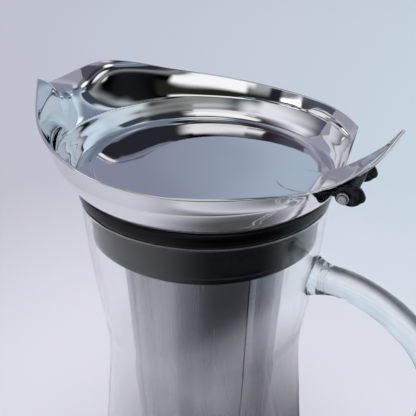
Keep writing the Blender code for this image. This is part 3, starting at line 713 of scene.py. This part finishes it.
flare_out = (0.0, 0.12, 0.32, 0.65, 1.0)
back_cut = 0.0452
sill_rise = 0.0023
dimple_at, dimple_size, dimple_depth = (0.0420, -0.0289, 0.0115), 0.0016, 0.0005


def spline(knots, values, at):
    """Natural cubic spline through (knots, values), whose bend is continuous: its second slopes m
    solve h0 m0 + 2 (h0 + h1) m1 + h1 m2 = 6 (chord after - chord before) at each inner knot."""
    knots, values, at = (np.asarray(a, float) for a in (knots, values, at))
    h = np.diff(knots)
    k = np.arange(1, len(knots) - 1)
    system = np.eye(len(knots))
    system[k, k - 1], system[k, k], system[k, k + 1] = h[:-1], 2.0 * (h[:-1] + h[1:]), h[1:]
    flat = values.reshape(len(knots), -1)
    right = np.zeros_like(flat)
    right[1:-1] = 6.0 * np.diff(np.diff(flat, axis=0) / h[:, None], axis=0)
    m = np.linalg.solve(system, right).reshape(values.shape)
    i = np.clip(np.searchsorted(knots, at, side="right") - 1, 0, len(knots) - 2)
    wide = at.shape + (1,) * (values.ndim - 1)
    a, b, c = (v.reshape(wide) for v in (knots[i + 1] - at, at - knots[i], h[i]))
    return (
        (m[i] * a ** 3 + m[i + 1] * b ** 3) / (6.0 * c)
        + (values[i] / c - m[i] * c / 6.0) * a + (values[i + 1] / c - m[i + 1] * c / 6.0) * b
    )


def collar_skin(half_columns=180, fine_rows=400, rows=130):
    """Section of the sheet at every angle from the spout: a smooth curve through the floor, the
    wall and the flare up to the rim, whose radius and height are smooth curves of the angle. The
    angle a is taken as sqrt(a^2 + w^2), where w grows downwards, so the spout's trough is round
    under its point. A section ends at the flat cut at the back. The sheet is thickened along its
    normal, with round edges, and has one small dimple beside the hinge."""
    t = np.linspace(0.0, 1.0, half_columns + 1)
    half = 180.0 * t * (1.0 - 0.6 * (1.0 - t))
    angles = np.concatenate([half, 360.0 - half[-2:0:-1]])
    from_spout = np.minimum(angles, 360.0 - angles)
    up = np.array(flare_up)[1:, None]
    width = spout_round * (1.0 - up) ** spout_round_power + lip_round
    around = np.minimum(np.sqrt(from_spout ** 2 + width ** 2) - 0.55 * width, 180.0)
    rim_r = rim_radius + spout_reach * spline(rim_angles, rim_reach, around)
    rim_z = rim_rise + shoulder_rise * spline(rim_angles, rim_lift, around)
    near = np.exp(-(from_spout / spout_fade) ** 2)
    out = np.array(flare_out)[1:, None] + np.array(spout_out + (0.0,))[:, None] * near
    up = up + np.array(spout_rise + (0.0,))[:, None] * near
    r = np.concatenate([np.tile(bowl_radii, (len(angles), 1)).T, bend_radius + (rim_r - bend_radius) * out])
    z = np.concatenate([np.tile(bowl_rises, (len(angles), 1)).T, bend_rise + (rim_z - bend_rise) * up])
    knots = np.arange(len(r))
    fine = np.linspace(0.0, knots[-1], fine_rows)
    r, z = spline(knots, r, fine), spline(knots, z, fine)

    # The length along each section, and the length at which it meets the cut.
    run = np.cumsum(np.hypot(np.diff(r, axis=0, prepend=r[:1]), np.diff(z, axis=0, prepend=z[:1])), axis=0)
    back = np.maximum(-np.cos(np.radians(angles)), 1e-9)
    past = np.minimum(r * back - back_cut, z - sill_rise) > 0.0
    last = np.where(past.any(0), past.argmax(0), len(r) - 1)
    k = np.arange(len(angles))
    r_step, z_step = r[last, k] - r[last - 1, k], z[last, k] - z[last - 1, k]
    share = np.maximum(
        (back_cut / back - r[last - 1, k]) / r_step, (sill_rise - z[last - 1, k]) / z_step,
    )
    share = np.where(past.any(0), np.clip(share, 0.0, 1.0), 1.0)
    end = run[last - 1, k] + share * (run[last, k] - run[last - 1, k])

    # New rows at even lengths from the hole's edge to the end of each section.
    s = np.linspace(0.0, 1.0, rows)[:, None] * (end - sheet / 2.0)
    low = np.clip((run[None] <= s[:, None]).sum(1) - 1, 0, len(r) - 2)
    share = (s - run[low, k]) / (run[low + 1, k] - run[low, k])
    r, z = (v[low, k] + share * (v[low + 1, k] - v[low, k]) for v in (r, z))
    turn = np.radians(angles)
    inner = np.stack([-r * np.cos(turn), -r * np.sin(turn), lid_plane + z], axis=2)
    away = np.linalg.norm(inner - (np.array(dimple_at) + (0, 0, lid_plane)), axis=2)
    along = np.gradient(inner, axis=0)
    ring = np.roll(inner, -1, axis=1) - np.roll(inner, 1, axis=1)
    normal = np.cross(along, ring)
    normal /= np.linalg.norm(normal, axis=2, keepdims=True)
    normal *= -np.sign(normal[0, 0, 2])
    inner = inner - normal * (dimple_depth * np.exp(-(away / dimple_size) ** 2))[..., None]
    outer = inner + sheet * normal
    tangent = along / np.linalg.norm(along, axis=2, keepdims=True)
    a = np.linspace(0.0, np.pi, 9)[1:-1, None, None]
    edge = (inner[-1] + outer[-1]) / 2 + sheet / 2 * (tangent[-1] * np.sin(a) - normal[-1] * np.cos(a))
    hole = (inner[0] + outer[0]) / 2 - sheet / 2 * (tangent[0] * np.sin(a) - normal[0] * np.cos(a))
    return np.concatenate([inner, edge, outer[::-1], hole])


skin(
    "bowl", [(collar_skin(), True, True, False)], "lid", ["spout_collar"], polished_steel,
)

# ---------------------------------------------------------------- flap
# Round lid of the same polished sheet: a field that is dished a little, with its edge turned down.
# It opens on the hinge when the thumb lever, welded on it, is pressed.
disc_radius, disc_field = 0.0404, 0.0384
disc_top = lid_plane + 0.0018
disc_foot = lid_plane + 0.0007
disc_sheet = 0.0008
dish_knots = (0.0, 0.010, 0.020, 0.030, disc_field)
dish_falls = (0.00175, 0.00156, 0.00095, 0.00042, 0.0)


def disc_skin():
    """Outline turned round the axis: the top and the underside fall by a smooth curve from the
    edge to the middle, and the edge is turned down."""
    r = np.linspace(0.0, disc_field, 60)
    fall = spline(dish_knots, dish_falls, r)
    top = np.stack([r, disc_top - fall], axis=1)
    edge = rounded([
        top[-1], (disc_field + disc_sheet, disc_top), (disc_radius, disc_top - 0.0007),
        (disc_radius, disc_foot), (disc_radius - disc_sheet, disc_foot),
        (disc_radius - disc_sheet, disc_top - disc_sheet),
        (disc_field - disc_sheet, disc_top - disc_sheet),
    ], (0, 0.0012, 0.0006, 0.0002, 0.0002, 0.0004, 0), 9)
    under = top[r < disc_field - disc_sheet][::-1] - (0.0, disc_sheet)
    return turned(np.concatenate([top[:-1], edge, under]), 220, False)


skin("lid_disc", [disc_skin()], "flap", ["flap_disc"], polished_steel)

# ---------------------------------------------------------------- thumb lever
# Strip of 1 mm stainless sheet: a round end spot-welded on the disc, a slope up over the hinge,
# and a dished, pointed leaf for the thumb.
lever_sheet = 0.0010
lever_start = 0.0275
lever_run, lever_climb, lever_half = 0.0338, 0.0211, 0.0081
lever_dish = 0.0007
lever_base = disc_top + weld_gap + lever_sheet / 2.0
lever_sunk = 0.0007
lever_outs = (
    0.000, 0.010, 0.029, 0.059, 0.103, 0.161, 0.235, 0.305, 0.370, 0.430, 0.484, 0.582, 0.640,
    0.696, 0.746, 0.804, 0.857, 0.905, 0.946, 0.976, 0.992, 1.000,
)
lever_ups = (
    0.0, 0.0, 0.0, 0.0, 0.0, 0.0, 0.0, 0.0, 0.006, 0.033, 0.076, 0.175, 0.243, 0.317, 0.383,
    0.461, 0.536, 0.630, 0.744, 0.862, 0.945, 1.000,
)
lever_widths = (
    0.10, 0.28, 0.48, 0.66, 0.82, 0.94, 1.00, 1.00, 1.00, 1.00, 1.00, 1.00, 0.98, 0.95, 0.92,
    0.88, 0.84, 0.71, 0.53, 0.31, 0.16, 0.06,
)
lever_dishes = (
    0.0, 0.0, 0.0, 0.0, 0.0, 0.0, 0.0, 0.0, 0.0, 0.0, 0.0, 0.0, 0.0, 0.1, 0.3, 0.6, 0.9, 1.0, 1.0,
    0.8, 0.4, 0.0,
)
lever_thins = (
    1.0, 1.0, 1.0, 1.0, 1.0, 1.0, 1.0, 1.0, 0.85, 0.45, 0.0, 0.0, 0.0, 0.0, 0.0, 0.0, 0.0, 0.0, 0.0,
    0.0, 0.0, 0.0,
)


def lever_skin(rows=210, columns=33):
    """Strip whose centre line, half width, dish and thickness are smooth curves of one parameter.
    Across it the surface is lifted by dish * v^2. It is thickened along its normal, with round
    edges. Its round end is pressed thin and follows the dish of the disc that it is welded on."""
    k = np.arange(len(lever_outs))
    at = np.linspace(0.0, k[-1], rows)
    x = lever_start + lever_run * through(k, lever_outs, at)
    thin = np.clip(through(k, lever_thins, at), 0.0, 1.0)
    z = lever_base + lever_climb * through(k, lever_ups, at) - lever_sunk * thin
    half = lever_half * through(k, lever_widths, at)
    dish = lever_dish * through(k, lever_dishes, at)
    tx, tz = np.gradient(x), np.gradient(z)
    length = np.hypot(tx, tz)
    tx, tz = tx / length, tz / length
    v = np.linspace(-1.0, 1.0, columns)
    h = ((lever_sheet - lever_sunk * thin) / 2.0)[:, None, None]
    inset = np.maximum(half - h[:, 0, 0], 0.2 * half)
    lift = dish[:, None] * v ** 2
    out, up = x[:, None] - tz[:, None] * lift, z[:, None] + tx[:, None] * lift
    middle = np.stack([out, inset[:, None] * v, up], axis=2)
    from_middle = np.minimum(np.hypot(middle[..., 0], middle[..., 1]), dish_knots[-1])
    middle[..., 2] -= thin[:, None] * spline(dish_knots, dish_falls, from_middle)
    normal = np.cross(np.gradient(middle, axis=0), np.gradient(middle, axis=1))
    normal /= np.linalg.norm(normal, axis=2, keepdims=True)
    across = np.gradient(middle, axis=1)
    across /= np.linalg.norm(across, axis=2, keepdims=True)
    a = np.linspace(0.0, np.pi, 7)[None, 1:-1, None]
    right = middle[:, -1:] + h * (normal[:, -1:] * np.cos(a) + across[:, -1:] * np.sin(a))
    left = middle[:, :1] - h * (normal[:, :1] * np.cos(a) + across[:, :1] * np.sin(a))
    return np.concatenate([middle + h * normal, right, (middle - h * normal)[:, ::-1], left], axis=1)


skin(
    "lever_strip", [(lever_skin(), False, True, True)],
    "flap", ["thumb_lever"], polished_steel,
)

# ---------------------------------------------------------------- lever bracket
# Folded from 1.2 mm steel: two ears that turn on the pin, joined under the lever by a plate that
# follows its slope. It is spot-welded to the lever's underside.
pin_x, pin_z = 0.0508, lid_plane + 0.0045
pin_hole = 0.00135
ear_outer, ear_sheet = 0.0095, 0.0012
lobe_radius = 0.0026
bracket_sheet = 0.0008
bracket_rear = 0.0037
bracket_runs = (0.690, 0.645, 0.600)
ear_ease, plate_ease = 0.00018, 0.0001


def under_lever(run, depth):
    """Place from the pin, `depth` square below the lever's middle surface at a share of its run:
    the centre line's point less depth times its unit normal."""
    k = np.arange(len(lever_outs))
    fine = np.linspace(0.0, k[-1], 2000)
    x = lever_start + lever_run * through(k, lever_outs, fine)
    z = lever_base + lever_climb * through(k, lever_ups, fine)
    slope_x, slope_z = np.gradient(x), np.gradient(z)
    size = np.hypot(slope_x, slope_z)
    at = lever_start + lever_run * np.asarray(run)
    px = np.interp(at, x, x + depth * slope_z / size) - pin_x
    pz = np.interp(at, x, z - depth * slope_x / size) - pin_z
    return np.stack([px, pz], axis=-1)


def slab(section, low, high, corner):
    """Flat outline of (x, z) from the pin, thick along Y, its edges eased by an inset of the
    outline: each point moves in along the mean normal of its two sides."""
    side_in = np.roll(section, 1, axis=0) - section
    side_on = np.roll(section, -1, axis=0) - section
    tangent = side_on - side_in
    normal = np.stack([-tangent[:, 1], tangent[:, 0]], axis=1)
    normal /= np.linalg.norm(normal, axis=1, keepdims=True)
    next_x, next_y = np.roll(section, -1, axis=0).T
    area = np.sum(section[:, 0] * next_y - next_x * section[:, 1])
    inner = section + normal * corner * np.sign(area)
    rows = [(inner, low), (section, low + corner), (section, high - corner), (inner, high)]
    return np.stack([
        np.stack([pin_x + line[:, 0], np.full(len(line), y), pin_z + line[:, 1]], axis=1) for line, y in rows
    ])


def pierced(section, low, high, corner, steps=72):
    """Flat outline round the pin with the pin's hole in it: at each angle a closed loop from the
    hole out over one face, round the eased edge and back over the other."""
    turn = np.linspace(-np.pi, np.pi, steps, endpoint=False)
    polar = np.arctan2(section[:, 1], section[:, 0])
    order = np.argsort(polar)
    reach = np.interp(turn, polar[order], np.hypot(*section.T)[order], period=2 * np.pi)
    hole = np.full(steps, pin_hole)
    radii = [hole, hole, reach - corner, reach, reach, reach - corner]
    depths = [low, high, high, high - corner, low + corner, low]
    return np.stack([
        np.stack([pin_x + r * np.cos(turn), np.full(steps, y), pin_z + r * np.sin(turn)], axis=1)
        for r, y in zip(radii, depths)
    ])


# The ear, as (x, z) from the pin: a round lobe under the pin, then a nose to the rear, and up the
# lever's underside.
slope = under_lever(bracket_runs, lever_sheet / 2.0 + weld_gap)
lobe = np.radians(np.linspace(190.0, 290.0, 24))
ear = np.concatenate([
    lobe_radius * np.stack([np.cos(lobe), np.sin(lobe)], axis=1),
    rounded([
        (0.0009, -0.00245), (0.0051, -0.00065), (0.00593, 0.0001), (0.00598, 0.00109),
        (bracket_rear, slope[0, 1]), slope[0], slope[1], slope[2], (-0.00256, -0.00045),
    ], (0, 0.0008, 0.0006, 0.0007, 0.0006, 0.0008, 0, 0.0006, 0), 6)[1:-1],
])
top_line = np.concatenate([[(bracket_rear, slope[0, 1])], slope])
low_line = np.concatenate([
    [(bracket_rear, slope[0, 1] - bracket_sheet)],
    under_lever(bracket_runs, lever_sheet / 2.0 + weld_gap + bracket_sheet),
])
low_line[1, 1] = slope[0, 1] - bracket_sheet
rear = [(top_line[0] + low_line[0]) / 2]
plate = rounded(
    np.concatenate([rear, top_line, low_line[::-1], rear]),
    (0, 0.0003, 0.0012, 0, 0.0003, 0.0003, 0, 0.0004, 0.0003, 0), 6,
)[:-1]

# Hinge steel: plain stamped stainless, tumbled and oiled, so it is duller than the polished sheet. Its
# near-black colour is
# painted shade: the dark reflections that the bracket shows are painted into it. Tumbling leaves pits about
# 0.1 mm wide, drawn 1 mm wide so that they show.
hinge_painted_dark, hinge_painted_grey = "#1E1E21", "#3A3A3D"
hinge_steel, tree, shader = new_material("tumbled_stainless_steel_painted_dark", {"Metallic": 1.0})
pits = noise_on(tree, (900.0, 900.0, 900.0), 4.0)
painted_dark_stops = [(0.35, linear(hinge_painted_dark)), (0.65, linear(hinge_painted_grey))]
textured(tree, shader, pits, rough=(0.16, 0.36), bump=(0.3, 0.00004), stops=painted_dark_stops)

skin("bracket_fold", [
    (pierced(ear, -ear_outer, ear_sheet - ear_outer, ear_ease), True, True, False),
    (pierced(ear, ear_outer - ear_sheet, ear_outer, ear_ease), True, True, False),
    (slab(plate, ear_sheet / 2 - ear_outer, ear_outer - ear_sheet / 2, plate_ease), False, True, True),
], "flap", ["lever_bracket"], hinge_steel)

# ---------------------------------------------------------------- hinge lug
# Foot welded on the bowl's floor, an arm over its low back wall, and a rolled barrel that holds
# the pin between the ears.
lug_half, lug_ease = 0.0066, 0.0002
barrel_radius, arm_radius = 0.0020, 0.00168
# The arm, as (x, z) from the pin: the foot's underside, round the barrel, and back over the top.
arm_end = np.radians(np.linspace(256.0, 172.0, 10))
arm = np.concatenate([
    rounded([
        (-0.0090, -0.0038), (-0.00598, -0.0038), (-0.00598, -0.0022), (-0.0016, -0.0022),
        (-0.0004, -0.00193),
    ], (0, 0.0002, 0.0003, 0.0004, 0), 5),
    arm_radius * np.stack([np.cos(arm_end), np.sin(arm_end)], axis=1),
    rounded([
        (-0.00185, 0.00030), (-0.0083, -0.0020), (-0.0095, -0.0026), (-0.0095, -0.0038),
        (-0.0090, -0.0038),
    ], (0, 0.0008, 0.0004, 0.0003, 0), 5)[:-1],
])
barrel_turn = np.linspace(-3.1, 3.1, 60)
barrel = barrel_radius * np.stack([np.cos(barrel_turn), np.sin(barrel_turn)], axis=1)
skin("lug_barrel", [
    (slab(arm, -lug_half, lug_half, lug_ease), False, True, True),
    (pierced(barrel, -lug_half, lug_half, ear_ease, 60), True, True, False),
], "lid", ["hinge_lug"], hinge_steel)

# ---------------------------------------------------------------- hinge pin
# Turned stainless pin with a shallow dimple in each end, and a pressed ring outside each ear.
pin_radius, pin_half = 0.00125, 0.0119
dimple_radius, dimple_deep = 0.0005, 0.0002
ring_radius = 0.0018
ring_start, ring_end = ear_outer + 0.0003, ear_outer + 0.0013


def turned_on_pin(outline, steps=56):
    """Grid of an outline of (radius, y) carried round the pin's axis."""
    turn = np.linspace(0.0, 2.0 * np.pi, steps, endpoint=False)
    r, y = outline[:, :1], outline[:, 1:]
    return np.stack([pin_x + r * np.cos(turn), y + 0.0 * turn, pin_z + r * np.sin(turn)], axis=2)


pin_line = rounded([
    (0.0, dimple_deep - pin_half), (dimple_radius, -pin_half), (pin_radius, -pin_half),
    (pin_radius, pin_half), (dimple_radius, pin_half), (0.0, pin_half - dimple_deep),
], (0, 0.0003, 0.0003, 0.0003, 0.0003, 0), 5)
skin(
    "pivot_pin", [(turned_on_pin(pin_line), False, True, False)],
    "lid", ["hinge_pin"], satin_steel,
)
ring_middle = (pin_hole, 0.5 * (ring_start + ring_end))
for side, sign in (("near", -1.0), ("far", 1.0)):
    ring_line = rounded([
        ring_middle, (pin_hole, ring_end), (ring_radius, ring_end), (ring_radius, ring_start),
        (pin_hole, ring_start), ring_middle,
    ], (0, 0.0002, 0.0003, 0.0003, 0.0001, 0), 5)[:-1] * (1.0, sign)
    skin(
        "push_ring_" + side, [(turned_on_pin(ring_line), True, True, False)], "lid", ["pin_ring_" + side],
        satin_steel,
    )
